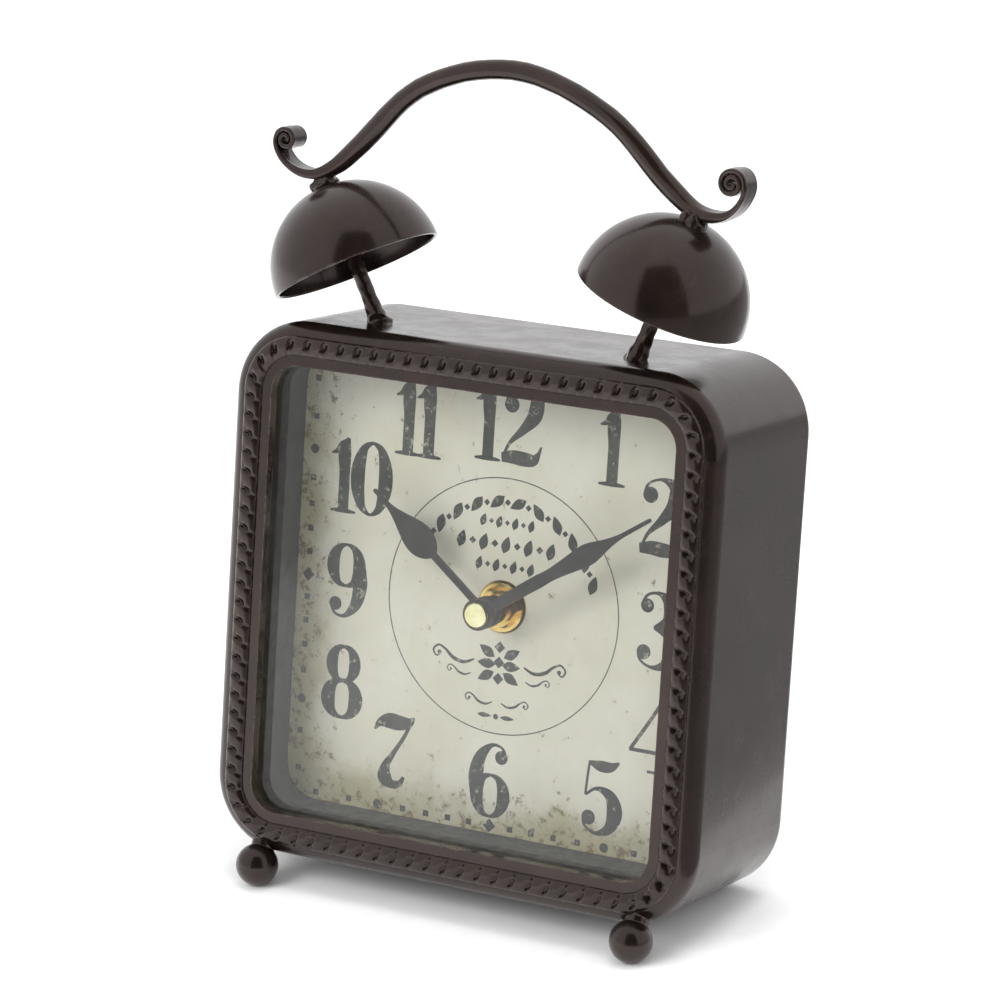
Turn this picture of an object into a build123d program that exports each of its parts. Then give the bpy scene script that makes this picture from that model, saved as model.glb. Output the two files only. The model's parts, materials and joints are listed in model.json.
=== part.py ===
from build123d import *
from math import asin, atan2, cos, degrees, hypot, radians, sin, sqrt
import os

# A square table clock with two fixed bells, a scrolled carrying handle and two ball feet.
#
# Everything is drawn square to the case first: X to the right, Y towards the back, Z up, with
# zero at the middle of the front face. stand() then leans the whole clock back until it rests
# on its two feet and its rear bottom edge, with the origin on the table under its middle.
# Lengths are in millimetres and angles in degrees.

# --- Case -----------------------------------------------------------------------------------
CASE_WIDTH = 150.0
CASE_HEIGHT = 150.5
CASE_DEPTH = 58.9
CASE_CORNER = 21.2
FRONT_ROUND = 5.0
REAR_ROUND = 3.5
SHEET = 1.2
HALF_HEIGHT = CASE_HEIGHT / 2

WINDOW = (124.4, 126.4, 8.0)
LIP_DEPTH = 3.0
REAR_OPENING = (118.0, 118.0, 12.0)

ROPE_START = 2.9
ROPE_WIDTH = 5.6
ROPE_RISE = 1.5

GLASS_MARGIN = 4.0
GLASS_BACK = LIP_DEPTH + 2.0
SURROUND = (132.0, 129.0, 10.0)
DIAL_FRONT = 25.9
PLATE_FRONT = DIAL_FRONT + 0.3
PLATE_BACK = PLATE_FRONT + 2.0
PLATE_SIZE = 138.0
PLATE_CORNER = 16.0
BRACKET_X = 60.0
BRACKET_Z = 47.0
BRACKET_DEPTH = 14.0
BRACKET_WIDTH = 10.0

COVER_SIZE = 134.0
COVER_BACK = CASE_DEPTH + 1.0
COVER_CORNER = 18.0
COVER_WINDOW = 62.0
COVER_SCREW = 60.5
SHANK_RADIUS = 1.45
HEAD_RADIUS = 3.0
HEAD_THICK = 1.8

# --- Feet, posts, bells and handle ----------------------------------------------------------
BALL_RADIUS = 5.97
BALL_FLAT = 1.5
BALL_X = 58.8
BALL_Y = -0.2
BALL_Z = -78.8
NECK_RADIUS = 3.6
NECK_WAIST = 2.6
NECK_LENGTH = 7.0
NECK_LEAN = 30.0

BAR_Y = 18.5
POST_X = 39.8
POST_RADIUS = 2.1
POST_FLARE = 3.8
FLARE_LENGTH = 7.0
LEAN_OUT = {"left": 28.5, "right": 20.5}
WELD_RADIUS = 3.3
WELD_LENGTH = 4.6
BELL_RADIUS = 24.0
BELL_WALL = 1.1
BELL_RIM = {"left": 16.8, "right": 17.1}

BAR_RADIUS = 2.75
ARCH_LEFT = [(-56.2, 116.9), (-50.4, 122.1), (-31.0, 141.0)]
ARCH_TOP = (-2.5, 148.5)
ARCH_RIGHT = [(27.2, 138.7), (48.6, 120.4), (54.0, 116.9)]
ARCH = [*ARCH_LEFT, ARCH_TOP, *ARCH_RIGHT]
# The rolled ends, seen from the front with x measured outwards from the middle of the clock.
STRIP_WIDTH = 7.6
STRIP_ROOT = 3.6
STRIP_TIP = 1.2
CURL_TURNS = 1.5
CURL_PITCH = 1.5
CURLS = {
    "left": {"hub": (71.0, 123.1), "radius": 3.1, "run": [(61.4, 114.3), (67.3, 114.8), (71.7, 117.6)]},
    "right": {"hub": (65.6, 125.3), "radius": 3.7, "run": [(59.3, 115.8), (64.2, 116.6), (67.6, 119.4)]},
}

# --- Movement -------------------------------------------------------------------------------
BODY_SIZE = 56.0
BODY_CORNER = 3.0
BODY_WALL = 1.2
INSIDE = BODY_SIZE / 2 - BODY_WALL
BODY_FRONT = PLATE_BACK + 0.8
BODY_SPLIT = BODY_FRONT + 8.0
BODY_BACK = BODY_FRONT + 16.0
BAY_WALL = (-11.0, -9.8)
BATTERY_RADIUS = 7.1
BATTERY_LENGTH = 50.5
BATTERY_NUB = 1.3
BATTERY_Y = BODY_BACK - BATTERY_RADIUS - 0.3
BATTERY_Z = -18.9
INSERT_RADIUS = 5.5

# --- Hands and spindle, from the front back --------------------------------------------------
HAND_NUT = (10.1, 11.2)
HAND_NUT_RADIUS = 3.66
MINUTE_HUB = (11.2, 14.8)
HOUR_HUB = (15.2, 17.4)
HUB_RADIUS = 4.4
BLADE_THICK = 0.7
MINUTE_BLADE = 11.6
HOUR_BLADE = 15.5
MINUTE_ANGLE = 56.3
HOUR_ANGLE = -51.7
BUSHING_FRONT = 20.5
NUT_FRONT = 22.4
WASHER_FRONT = 24.9
MINUTE_RADIUS = 1.6
HOUR_PIPE_RADIUS = 2.7
BUSHING_RADIUS = 4.0
RUNNING_GAP = 0.08
WASHER_RADIUS = 7.45
NUT_FLATS = 10.4

# --- Wheels ---------------------------------------------------------------------------------
ARBOR = 0.45
PIVOT_GAP = 0.05
PIVOT_DEPTH = 0.6
PIVOTS = (BODY_FRONT + BODY_WALL - PIVOT_DEPTH, BODY_BACK - BODY_WALL + PIVOT_DEPTH)
WHEEL_THICK = 0.8
PINION_SPARE = 0.2
MOTION_MODULE = 0.4
HOUR_MODULE = 0.384
CENTRE_MODULE = 0.25
THIRD_MODULE = 0.2
TRAIN_MODULE = 0.18
HOUR_LAYER = 30.7
CANNON_LAYER = 31.9
CENTRE_LAYER = 33.4
THIRD_LAYER = 35.4
FOURTH_LAYER = 37.8
FIFTH_LAYER = 40.0
MAGNET = (34.5, 37.0)
MAGNET_RADIUS = 2.4
MOTOR_X = 15.5
MOTOR_LENGTH = 19.0
MOTOR_ARM = 3.0
STATOR_HEIGHT = 8.0
STATOR = (35.2, 36.2)
CORE = (36.2, 37.0)
CORE_Z = 21.5
SPOOL_LENGTH = 11.8
WINDING_RADIUS = 3.1
CHEEK_RADIUS = 4.2
BOARD_X = (-25.5, -7.0)
BOARD_Y = (41.5, 42.5)
BOARD_Z = (13.5, 26.0)
CONTACT_THICK = 0.4
KNOB = (BODY_BACK + 0.6, BODY_BACK + 4.6)
KNOB_RADIUS = 5.5
CONTACT_FRONT = 32.0
CONTACT_HEIGHT = 12.0

# Teeth of each wheel, leaves of each pinion, and the bearing of each wheel from its driver.
CANNON_LEAVES = 12
MINUTE_TEETH = 36
MINUTE_LEAVES = 10
HOUR_TEETH = 40
KNOB_TEETH = 18
CENTRE_TEETH = 64
THIRD_TEETH = 60
FOURTH_TEETH = 48
FIFTH_TEETH = 40
LEAVES = 8
MINUTE_BEARING = 180
KNOB_BEARING = 135
THIRD_BEARING = 120
FOURTH_BEARING = 20
FIFTH_BEARING = -10
ROTOR_BEARING = 30

SIDES = {"left": -1, "right": 1}


# --- Helpers --------------------------------------------------------------------------------
def slab(sketch, front, back):
    """The sketch, drawn as seen from the front, as a plate from depth front to depth back."""
    return extrude(Plane.XZ.offset(-back) * sketch, back - front)


def disc(radius, front, back, x=0.0, z=0.0):
    return slab(Pos(x, z) * Circle(radius), front, back)


def rounded_plate(width, height, corner, front, back):
    return slab(RectangleRounded(width, height, corner), front, back)


def grown(outline, margin):
    """A rounded rectangle (width, height, corner) made larger all round by margin."""
    width, height, corner = outline
    return width + 2 * margin, height + 2 * margin, corner + margin


def rounded_ring(outline, wall, front, back):
    """A rounded rectangular tube with outline as its inside."""
    ring = rounded_plate(*grown(outline, wall), front, back)
    return ring - rounded_plate(*outline, front - 1, back + 1)


def block(xs, ys, zs):
    """A box from three (low, high) pairs."""
    middle = [sum(pair) / 2 for pair in (xs, ys, zs)]
    return Pos(*middle) * Box(xs[1] - xs[0], ys[1] - ys[0], zs[1] - zs[0])


def outline_at(shape, depth):
    """The edges of a plate that lie at one depth."""
    return shape.edges().filter_by(Plane.XZ).filter_by_position(Axis.Y, depth - 0.01, depth + 0.01)


def four_corners(x, z):
    return [(sx * x, sz * z) for sx in (-1, 1) for sz in (-1, 1)]


def group(pieces):
    """Separate solids that share one node."""
    return Compound([solid for piece in pieces for solid in piece.solids()])


# --- Case and dial --------------------------------------------------------------------------
def case_block(inset):
    """The case's rounded outer form, made smaller all round by inset."""
    outline = grown((CASE_WIDTH, CASE_HEIGHT, CASE_CORNER), -inset)
    solid = rounded_plate(*outline, inset, CASE_DEPTH - inset)
    solid = fillet(outline_at(solid, inset), FRONT_ROUND - inset)
    return fillet(outline_at(solid, CASE_DEPTH - inset), REAR_ROUND - inset)


def case_shell():
    """Drawn steel shell: a window in front with its edge turned in, and an open back."""
    shell = case_block(0) - case_block(SHEET)
    shell -= rounded_plate(*WINDOW, -1, SHEET + 1)
    shell -= rounded_plate(*REAR_OPENING, CASE_DEPTH - SHEET - 1, CASE_DEPTH + 1)
    for x, z in four_corners(COVER_SCREW, COVER_SCREW):
        shell -= disc(SHANK_RADIUS, CASE_DEPTH - SHEET - 1, CASE_DEPTH + 1, x, z)
    return shell + rounded_ring(WINDOW, SHEET, SHEET / 2, LIP_DEPTH)


def rope_trim():
    """Half-round ring round the window, the envelope of its rope moulding."""
    ring = rounded_ring(grown(WINDOW, ROPE_START), ROPE_WIDTH, -ROPE_RISE, 0)
    return fillet(outline_at(ring, -ROPE_RISE), ROPE_RISE * 0.95)


def glass_pane():
    return rounded_plate(*grown(WINDOW, GLASS_MARGIN), LIP_DEPTH, GLASS_BACK)


def inner_frame():
    """The walls between the glass and the dial."""
    return rounded_ring(SURROUND, 1.0, GLASS_BACK, DIAL_FRONT)


def dial_paper():
    paper = rounded_plate(*grown(SURROUND, 1.0), DIAL_FRONT, PLATE_FRONT)
    return paper - disc(BUSHING_RADIUS, DIAL_FRONT - 1, PLATE_FRONT + 1)


def dial_plate():
    plate = rounded_plate(PLATE_SIZE, PLATE_SIZE, PLATE_CORNER, PLATE_FRONT, PLATE_BACK)
    plate -= disc(BUSHING_RADIUS, PLATE_FRONT - 1, PLATE_BACK + 1)
    for x, z in four_corners(BRACKET_X, BRACKET_Z):
        plate -= disc(SHANK_RADIUS, PLATE_FRONT - 1, PLATE_BACK + 1, x, z)
    return plate


def dial_brackets():
    """Bent tabs, spot-welded inside the case's side walls, that hold the dial plate."""
    wall = CASE_WIDTH / 2 - SHEET
    tabs = []
    for x, z in four_corners(BRACKET_X, BRACKET_Z):
        zs = (z - BRACKET_WIDTH / 2, z + BRACKET_WIDTH / 2)
        side = x / BRACKET_X
        wall_leg = sorted((side * (wall - SHEET), side * wall))
        plate_leg = sorted((side * (BRACKET_X - BRACKET_WIDTH / 2), side * wall))
        tab = block(wall_leg, (PLATE_BACK, PLATE_BACK + BRACKET_DEPTH), zs)
        tab += block(plate_leg, (PLATE_BACK, PLATE_BACK + SHEET), zs)
        tabs.append(tab - disc(SHANK_RADIUS, PLATE_BACK - 1, PLATE_BACK + SHEET + 1, x, z))
    return group(tabs)


def pan_screw(x, z, seat, reach):
    """Cross-head screw driven in from the back: its head sits on depth seat."""
    head = disc(HEAD_RADIUS, seat, seat + HEAD_THICK, x, z)
    head = fillet(outline_at(head, seat + HEAD_THICK), HEAD_THICK * 0.5)
    for turn in (45, 135):
        slot = Pos(x, z) * Rot(0, 0, turn) * Rectangle(1.2 * HEAD_RADIUS, 0.8)
        head -= slab(slot, seat + HEAD_THICK / 2, seat + HEAD_THICK + 1)
    return head + disc(SHANK_RADIUS, seat - reach, seat, x, z)


def dial_screws():
    seat = PLATE_BACK + SHEET
    reach = SHEET + PLATE_BACK - PLATE_FRONT
    return group(pan_screw(x, z, seat, reach) for x, z in four_corners(BRACKET_X, BRACKET_Z))


def back_cover():
    """Flat steel back with a square window, through which the battery and knob are reached."""
    cover = rounded_plate(COVER_SIZE, COVER_SIZE, COVER_CORNER, CASE_DEPTH, COVER_BACK)
    cover -= rounded_plate(COVER_WINDOW, COVER_WINDOW, BODY_CORNER, CASE_DEPTH - 1, COVER_BACK + 1)
    for x, z in four_corners(COVER_SCREW, COVER_SCREW):
        cover -= disc(SHANK_RADIUS, CASE_DEPTH - 1, COVER_BACK + 1, x, z)
    return cover


def back_screws():
    spots = four_corners(COVER_SCREW, COVER_SCREW)
    return group(pan_screw(x, z, COVER_BACK, COVER_BACK - CASE_DEPTH + 4) for x, z in spots)


# --- Feet, posts, bells and handle ----------------------------------------------------------
def lean_back():
    """The angle at which the feet's flats and the case's rear bottom edge are level."""
    across = CASE_DEPTH - REAR_ROUND - BALL_Y
    up = -HALF_HEIGHT + REAR_ROUND - BALL_Z
    drop = sqrt(BALL_RADIUS**2 - BALL_FLAT**2) - REAR_ROUND
    return degrees(atan2(up, across) + asin(drop / hypot(across, up)))


def ball_foot(side):
    """A ball with a small worn flat underneath, welded by a short neck to the case's edge."""
    flat_depth = sqrt(BALL_RADIUS**2 - BALL_FLAT**2)
    wide = 2 * BALL_RADIUS
    worn = block((-wide, wide), (-wide, wide), (-flat_depth - wide, -flat_depth))
    ball = Rot(lean_back(), 0, 0) * (Sphere(BALL_RADIUS) - worn)
    neck = Rot(-NECK_LEAN, 0, 0) * Pos(0, 0, NECK_LENGTH / 2) * Cone(NECK_WAIST, NECK_RADIUS, NECK_LENGTH)
    foot = Pos(SIDES[side] * BALL_X, BALL_Y, BALL_Z) * (ball + neck)
    return foot - case_block(0)


def post_frame(side):
    """Where a post stands: its foot on the case's top, leaning out and carrying the bell."""
    lean = SIDES[side] * LEAN_OUT[side]
    return Pos(SIDES[side] * POST_X, BAR_Y, HALF_HEIGHT) * Rot(0, lean, 0)


def crown_height(side):
    """How far up its post the top of a bell is."""
    return BELL_RIM[side] + BELL_RADIUS


def post(side):
    """A rod with a flared weld at its foot, its top end just through the bell's crown."""
    top = crown_height(side) + 0.5
    rod = Pos(0, 0, top / 2 - 1) * Cylinder(POST_RADIUS, top + 2)
    flare = Pos(0, 0, FLARE_LENGTH / 4) * Cone(POST_FLARE, POST_RADIUS, FLARE_LENGTH)
    return post_frame(side) * (rod + flare) - case_block(0)


def bell(side):
    """A thin half-ball cup, open downwards, with the post through its crown."""
    above_rim = (Align.CENTER, Align.CENTER, Align.MIN)
    cup = Sphere(BELL_RADIUS, arc_size1=0, align=above_rim) - Sphere(BELL_RADIUS - BELL_WALL)
    rim = cup.faces().sort_by(Axis.Z)[0].edges()
    cup = fillet(rim, BELL_WALL * 0.35)
    cup -= Pos(0, 0, BELL_RADIUS) * Cylinder(POST_RADIUS, 8)
    return post_frame(side) * Pos(0, 0, BELL_RIM[side]) * cup


def crown_weld(side, bell_solid, handle_solid, post_solid):
    """The blob of weld that joins the handle to the bell's crown and the post."""
    blob = Pos(0, 0, crown_height(side) + 1.0) * Cone(WELD_RADIUS, 0.8 * WELD_RADIUS, WELD_LENGTH)
    blob = post_frame(side) * blob - bell_solid - handle_solid - post_solid
    return blob.solids().sort_by(SortBy.VOLUME)[-1]


def curl_line(side):
    """The middle line of one rolled end, from the bar outwards, then spiralling in."""
    curl = CURLS[side]
    start = ARCH[0] if side == "left" else ARCH[-1]
    points = [(abs(start[0]), start[1])] + curl["run"]
    for turn in range(int(CURL_TURNS * 12) + 1):
        angle = radians(30 * turn)
        radius = curl["radius"] - CURL_PITCH * turn / 12
        points.append((curl["hub"][0] + radius * cos(angle), curl["hub"][1] + radius * sin(angle)))
    return Spline(*points)


def curl_end(side):
    """One end of the handle: the bar flattened to a strip, dipped over the bell and rolled up."""
    line = curl_line(side)
    steps = 48
    edges = ([], [])
    for step in range(steps + 1):
        along = step / steps
        half = (STRIP_ROOT + (STRIP_TIP - STRIP_ROOT) * min(1, 1.8 * along)) / 2
        point = line @ along
        tangent = line % along
        for edge, sign in zip(edges, (1, -1)):
            edge.append((point.X - sign * half * tangent.Y, point.Y + sign * half * tangent.X))
    sides = Spline(*edges[0]) + Spline(*edges[1])
    ends = Line(edges[0][0], edges[1][0]) + Line(edges[0][-1], edges[1][-1])
    strip = make_face(sides + ends)
    if side == "left":
        strip = mirror(strip, Plane.YZ)
    return slab(strip, BAR_Y - STRIP_WIDTH / 2, BAR_Y + STRIP_WIDTH / 2)


def handle():
    """A round bar bent to an arch, with a rolled strip at each end."""
    path = Plane.XZ.offset(-BAR_Y) * Spline(*ARCH)
    section = Plane(path @ 0, z_dir=path % 0) * Circle(BAR_RADIUS)
    return sweep(section, path) + curl_end("left") + curl_end("right")


# --- Hands and spindle ----------------------------------------------------------------------
def blade(outline, depth, angle):
    """A flat hand pointing at angle, from its right-hand outline as (distance, half-width)."""
    right = [(width, distance) for distance, width in outline]
    left = [(-x, y) for x, y in reversed(right)]
    shape = make_face(Polyline(*right, *left, close=True))
    return slab(Rot(0, 0, -angle) * shape, depth, depth + BLADE_THICK)


def spread(points, steps):
    """More points along a smooth line through the given ones."""
    line = Spline(*points)
    return [((line @ (i / steps)).X, (line @ (i / steps)).Y) for i in range(steps + 1)]


def minute_hand():
    """A long tapering blade, widest two thirds out, on a deep black hub."""
    swell = spread([(22, 1.85), (30, 2.05), (36, 2.8), (39, 2.95), (43.5, 1.9), (47.6, 1.0), (51, 0.62)], 20)
    tip = [(60.2, 0.55), (60.6, 0.35)]
    shape = blade([(0, 1.6), (15, 1.75)] + swell + tip, MINUTE_BLADE, MINUTE_ANGLE)
    shape += disc(HUB_RADIUS, *MINUTE_HUB)
    return shape - disc(MINUTE_RADIUS, MINUTE_HUB[0] - 1, MINUTE_HUB[1] + 1)


def hour_hand():
    """A straight bar with a broad spade and a fine point, on a deep black hub."""
    widest = (28.6, 4.5)
    spade = spread([(21.6, 1.0), (23.6, 3.2), (25.8, 4.25), widest, (33, 3.3), (37.7, 1.5), (41.5, 0.65)], 24)
    tip = [(46.8, 0.5), (47.1, 0.3)]
    shape = blade([(0, 1.0)] + spade + tip, HOUR_BLADE, HOUR_ANGLE)
    shape += disc(HUB_RADIUS, *HOUR_HUB)
    return shape - disc(HOUR_PIPE_RADIUS, HOUR_HUB[0] - 1, HOUR_HUB[1] + 1)


def hand_nut():
    """The polished cap nut on the end of the minute arbor."""
    cap = disc(HAND_NUT_RADIUS, *HAND_NUT)
    return fillet(outline_at(cap, HAND_NUT[0]), 0.5)


def dial_washer():
    washer = disc(WASHER_RADIUS, WASHER_FRONT, DIAL_FRONT)
    washer = chamfer(outline_at(washer, WASHER_FRONT), 0.6)
    return washer - disc(BUSHING_RADIUS, WASHER_FRONT - 1, DIAL_FRONT + 1)


def dial_nut():
    hexagon = slab(RegularPolygon(NUT_FLATS / 2, 6, major_radius=False), NUT_FRONT, WASHER_FRONT)
    crown = chamfer(outline_at(disc(NUT_FLATS * 0.57, NUT_FRONT, WASHER_FRONT), NUT_FRONT), 0.7)
    return (hexagon & crown) - disc(BUSHING_RADIUS, NUT_FRONT - 1, WASHER_FRONT + 1)


def spindle_bushing():
    """Brass tube, flanged in the movement's front wall, that holds the clock to its dial."""
    bushing = disc(BUSHING_RADIUS, BUSHING_FRONT, BODY_FRONT + BODY_WALL)
    bushing = chamfer(outline_at(bushing, BUSHING_FRONT), 0.4)
    bushing += disc(INSERT_RADIUS, BODY_FRONT, BODY_FRONT + BODY_WALL)
    bore = HOUR_PIPE_RADIUS + RUNNING_GAP
    return bushing - disc(bore, BUSHING_FRONT - 1, BODY_FRONT + BODY_WALL + 1)


# --- Wheels ---------------------------------------------------------------------------------
def beyond(spot, distance, bearing):
    """The place at a distance and bearing (anticlockwise from +X) from another."""
    angle = radians(bearing)
    return spot[0] + distance * cos(angle), spot[1] + distance * sin(angle)


def centres(module, teeth_a, teeth_b):
    return module * (teeth_a + teeth_b) / 2


CENTRE = (0.0, 0.0)
MINUTE_WHEEL_AT = beyond(CENTRE, centres(MOTION_MODULE, CANNON_LEAVES, MINUTE_TEETH), MINUTE_BEARING)
KNOB_AT = beyond(MINUTE_WHEEL_AT, centres(MOTION_MODULE, MINUTE_TEETH, KNOB_TEETH), KNOB_BEARING)
THIRD_AT = beyond(CENTRE, centres(CENTRE_MODULE, CENTRE_TEETH, LEAVES), THIRD_BEARING)
FOURTH_AT = beyond(THIRD_AT, centres(THIRD_MODULE, THIRD_TEETH, LEAVES), FOURTH_BEARING)
FIFTH_AT = beyond(FOURTH_AT, centres(TRAIN_MODULE, FOURTH_TEETH, LEAVES), FIFTH_BEARING)
ROTOR_AT = beyond(FIFTH_AT, centres(TRAIN_MODULE, FIFTH_TEETH, LEAVES), ROTOR_BEARING)
THROUGH_ARBORS = [THIRD_AT, FOURTH_AT, FIFTH_AT, ROTOR_AT, MINUTE_WHEEL_AT]


def mesh_phase(phase, teeth, other_teeth, bearing):
    """How far round the other wheel is turned so that its gap meets this wheel's tooth."""
    return bearing + 180 + 180 / other_teeth - (phase - bearing) * teeth / other_teeth


def wheel(teeth, module, layer, spot, phase=0.0, spare=0.0):
    """A toothed disc; spare makes a pinion reach past both faces of the wheel it drives."""
    pitch_radius = module * teeth / 2
    step = 360 / teeth
    corners = ((-0.25, -0.9), (-0.11, 0.6), (0.11, 0.6), (0.25, -0.9))
    outline = []
    for tooth in range(teeth):
        for share, height in corners:
            angle = radians(phase + (tooth + share) * step)
            radius = pitch_radius + height * module
            outline.append((radius * cos(angle), radius * sin(angle)))
    face = make_face(Polyline(*outline, close=True))
    return slab(Pos(*spot) * face, layer - spare, layer + WHEEL_THICK + spare)


def arbor(spot, front=PIVOTS[0], back=PIVOTS[1], radius=ARBOR):
    return disc(radius, front, back, *spot)


PINION_PHASE = 0.0
MINUTE_WHEEL_PHASE = mesh_phase(PINION_PHASE, CANNON_LEAVES, MINUTE_TEETH, MINUTE_BEARING)
HOUR_WHEEL_PHASE = mesh_phase(PINION_PHASE, MINUTE_LEAVES, HOUR_TEETH, MINUTE_BEARING - 180)
KNOB_PHASE = mesh_phase(MINUTE_WHEEL_PHASE, MINUTE_TEETH, KNOB_TEETH, KNOB_BEARING)


def cannon_pinion():
    """The minute arbor, from the hand to the back plate, with the pinion that drives the hour."""
    rod = disc(MINUTE_RADIUS, HAND_NUT[1], CENTRE_LAYER + WHEEL_THICK + 0.4)
    rod += arbor(CENTRE, CENTRE_LAYER, PIVOTS[1])
    return rod + wheel(CANNON_LEAVES, MOTION_MODULE, CANNON_LAYER, CENTRE, PINION_PHASE)


def hour_wheel():
    pipe = disc(HOUR_PIPE_RADIUS, HOUR_HUB[0], HOUR_LAYER + WHEEL_THICK)
    pipe += wheel(HOUR_TEETH, HOUR_MODULE, HOUR_LAYER, CENTRE, HOUR_WHEEL_PHASE)
    return pipe - disc(MINUTE_RADIUS + RUNNING_GAP, HOUR_HUB[0] - 1, HOUR_LAYER + 2)


def minute_wheel():
    """The idle wheel between the cannon pinion and the hour wheel."""
    idle = wheel(MINUTE_TEETH, MOTION_MODULE, CANNON_LAYER, MINUTE_WHEEL_AT, MINUTE_WHEEL_PHASE)
    idle += wheel(MINUTE_LEAVES, HOUR_MODULE, HOUR_LAYER - 0.1, MINUTE_WHEEL_AT, PINION_PHASE, 0.1)
    idle += disc(1.2, HOUR_LAYER, CANNON_LAYER, *MINUTE_WHEEL_AT)
    return idle + arbor(MINUTE_WHEEL_AT)


def setting_knob():
    """Knurled knob outside the movement's back, with its gear on the minute wheel."""
    teeth = 30
    knurl = Circle(KNOB_RADIUS)
    for tooth in range(teeth):
        knurl -= Pos(*beyond((0, 0), KNOB_RADIUS, 360 / teeth * tooth)) * Circle(0.25)
    knob = slab(Pos(*KNOB_AT) * knurl, *KNOB)
    knob += wheel(KNOB_TEETH, MOTION_MODULE, CANNON_LAYER, KNOB_AT, KNOB_PHASE)
    knob += arbor(KNOB_AT, PIVOTS[0], CANNON_LAYER)
    return knob + arbor(KNOB_AT, CANNON_LAYER, KNOB[0], 2 * ARBOR)


def centre_wheel():
    """The first wheel of the train, gripped on the minute arbor by friction."""
    hub = disc(2.4, CENTRE_LAYER, CENTRE_LAYER + WHEEL_THICK)
    plate = wheel(CENTRE_TEETH, CENTRE_MODULE, CENTRE_LAYER, CENTRE) + hub
    return plate - disc(MINUTE_RADIUS + PIVOT_GAP, CENTRE_LAYER - 1, CENTRE_LAYER + 2)


def train_wheel(teeth, module, layer, spot, pinion_from):
    """A wheel and its pinion on one arbor; pinion_from describes the wheel that drives it."""
    drive_teeth, drive_module, drive_layer, bearing = pinion_from
    phase = mesh_phase(0, drive_teeth, LEAVES, bearing)
    pinion = wheel(LEAVES, drive_module, drive_layer, spot, phase, PINION_SPARE)
    return arbor(spot) + pinion + wheel(teeth, module, layer, spot)


def third_wheel():
    driver = (CENTRE_TEETH, CENTRE_MODULE, CENTRE_LAYER, THIRD_BEARING)
    return train_wheel(THIRD_TEETH, THIRD_MODULE, THIRD_LAYER, THIRD_AT, driver)


def fourth_wheel():
    driver = (THIRD_TEETH, THIRD_MODULE, THIRD_LAYER, FOURTH_BEARING)
    return train_wheel(FOURTH_TEETH, TRAIN_MODULE, FOURTH_LAYER, FOURTH_AT, driver)


def fifth_wheel():
    driver = (FOURTH_TEETH, TRAIN_MODULE, FOURTH_LAYER, FIFTH_BEARING)
    return train_wheel(FIFTH_TEETH, TRAIN_MODULE, FIFTH_LAYER, FIFTH_AT, driver)


def rotor():
    """The stepping motor's magnet and the pinion that drives the train."""
    phase = mesh_phase(0, FIFTH_TEETH, LEAVES, ROTOR_BEARING)
    pinion = wheel(LEAVES, TRAIN_MODULE, FIFTH_LAYER, ROTOR_AT, phase, PINION_SPARE)
    return arbor(ROTOR_AT) + disc(MAGNET_RADIUS, *MAGNET, *ROTOR_AT) + pinion


# --- Movement case and electrics ------------------------------------------------------------
def hollows(front, back):
    """The train room and the battery bay, between two depths."""
    room = block((-INSIDE, INSIDE), (front, back), (BAY_WALL[1], INSIDE))
    bay = block((-INSIDE, INSIDE), (front, back), (-INSIDE, BAY_WALL[0]))
    return room, bay


def movement_front_case():
    floor = BODY_FRONT + BODY_WALL
    shell = rounded_plate(BODY_SIZE, BODY_SIZE, BODY_CORNER, BODY_FRONT, BODY_SPLIT)
    for hollow in hollows(floor, BODY_SPLIT + 1):
        shell -= hollow
    shell -= disc(INSERT_RADIUS, BODY_FRONT - 1, floor + 1)
    for spot in THROUGH_ARBORS + [KNOB_AT]:
        shell -= disc(ARBOR + PIVOT_GAP, PIVOTS[0], floor + 1, *spot)
    return shell


def movement_back_case():
    wall = BODY_BACK - BODY_WALL
    shell = rounded_plate(BODY_SIZE, BODY_SIZE, BODY_CORNER, BODY_SPLIT, BODY_BACK)
    shell -= hollows(BODY_SPLIT - 1, wall)[0]
    shell -= hollows(BODY_SPLIT - 1, BODY_BACK + 1)[1]
    for spot in THROUGH_ARBORS + [CENTRE]:
        shell -= disc(ARBOR + PIVOT_GAP, wall - 1, PIVOTS[1], *spot)
    return shell - disc(2 * ARBOR + RUNNING_GAP, wall - 1, BODY_BACK + 1, *KNOB_AT)


def movement_gasket():
    """Rubber ring between the dial plate and the movement."""
    return disc(9.0, PLATE_BACK, BODY_FRONT) - disc(BUSHING_RADIUS, PLATE_BACK - 1, BODY_FRONT + 1)


def stator():
    """Soft-iron plate round the rotor, with two arms up to the coil's core."""
    x, z = ROTOR_AT
    body = Pos(MOTOR_X, z) * Rectangle(MOTOR_LENGTH, STATOR_HEIGHT)
    arm_top = CORE_Z + MOTOR_ARM / 2
    for end in (-1, 1):
        arm_x = MOTOR_X + end * (MOTOR_LENGTH - MOTOR_ARM) / 2
        body += Pos(arm_x, (z + arm_top) / 2) * Rectangle(MOTOR_ARM, arm_top - z)
    body -= Pos(x, z) * Circle(MAGNET_RADIUS + 0.4)
    body -= Pos(*FIFTH_AT) * Circle(ARBOR + 0.4)
    return slab(body, *STATOR)


def coil_core():
    xs = (MOTOR_X - MOTOR_LENGTH / 2, MOTOR_X + MOTOR_LENGTH / 2)
    return block(xs, CORE, (CORE_Z - MOTOR_ARM / 2, CORE_Z + MOTOR_ARM / 2))


def coil():
    """Copper winding between two bobbin cheeks."""
    cheek = 0.6
    along = Pos(MOTOR_X, sum(CORE) / 2, CORE_Z) * Rot(0, 90, 0)
    spool = along * Cylinder(WINDING_RADIUS, SPOOL_LENGTH)
    for end in (-1, 1):
        spool += along * Pos(0, 0, end * (SPOOL_LENGTH - cheek) / 2) * Cylinder(CHEEK_RADIUS, cheek)
    return spool - coil_core()


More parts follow.
